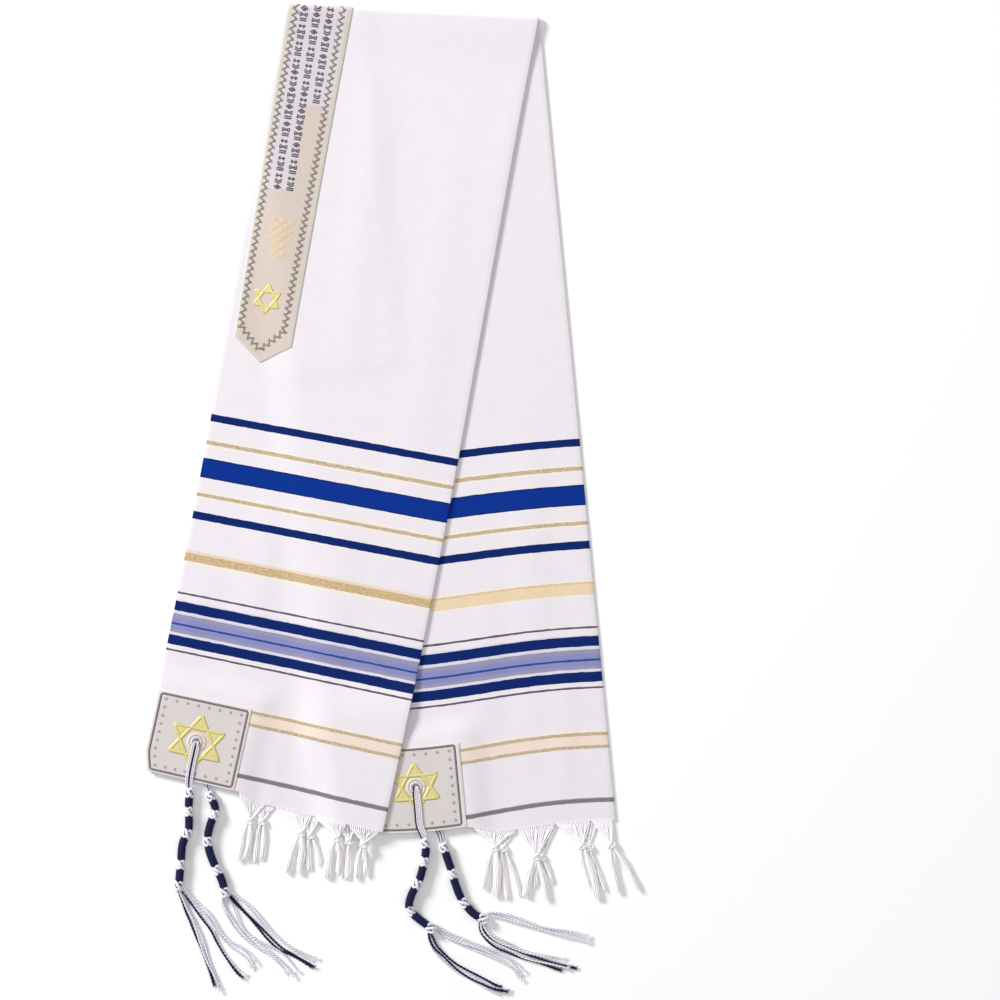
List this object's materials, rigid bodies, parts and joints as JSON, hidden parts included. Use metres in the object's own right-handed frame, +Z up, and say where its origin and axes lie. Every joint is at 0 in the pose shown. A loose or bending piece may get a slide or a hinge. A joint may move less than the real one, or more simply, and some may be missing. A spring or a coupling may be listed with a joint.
{
  "type": "tallit prayer shawl",
  "caption": "White prayer shawl folded in two each way and laid flat, with blue and gold stripes, a neckband, patched corners, knotted tassels and fringed ends.",
  "frame": {"origin": "centre of the folded shawl's footprint, on the surface that it lies on", "axes": "+Z up off the surface, +Y from the fringed ends towards the crosswise fold, +X from the open long edges towards the lengthwise fold"},
  "size_m": [0.5575, 1.1136, 0.0109],
  "materials": {
    "woven_cloth": "fine matt white weave with woven blue, lavender and metallic gold stripes",
    "neckband": "beige satin weave with embroidered borders",
    "corner_patch": "beige satin weave with a gold embroidered star",
    "tassel_cord": "twisted white wool cord wound with navy blue",
    "fringe_thread": "loose twisted white warp threads"
  },
  "bodies": {
    "root": {"shawl_cloth": "woven_cloth", "atarah": "neckband", "patch_front_top": "corner_patch", "patch_front_under": "corner_patch", "patch_back_top": "corner_patch", "patch_back_under": "corner_patch", "tzitzit_front_top": "tassel_cord", "tzitzit_front_under": "tassel_cord", "tzitzit_back_top": "tassel_cord", "tzitzit_back_under": "tassel_cord", "fringe_front_top": "fringe_thread", "fringe_front_under": "fringe_thread", "fringe_back_top": "fringe_thread", "fringe_back_under": "fringe_thread"}
  },
  "joints": []
}
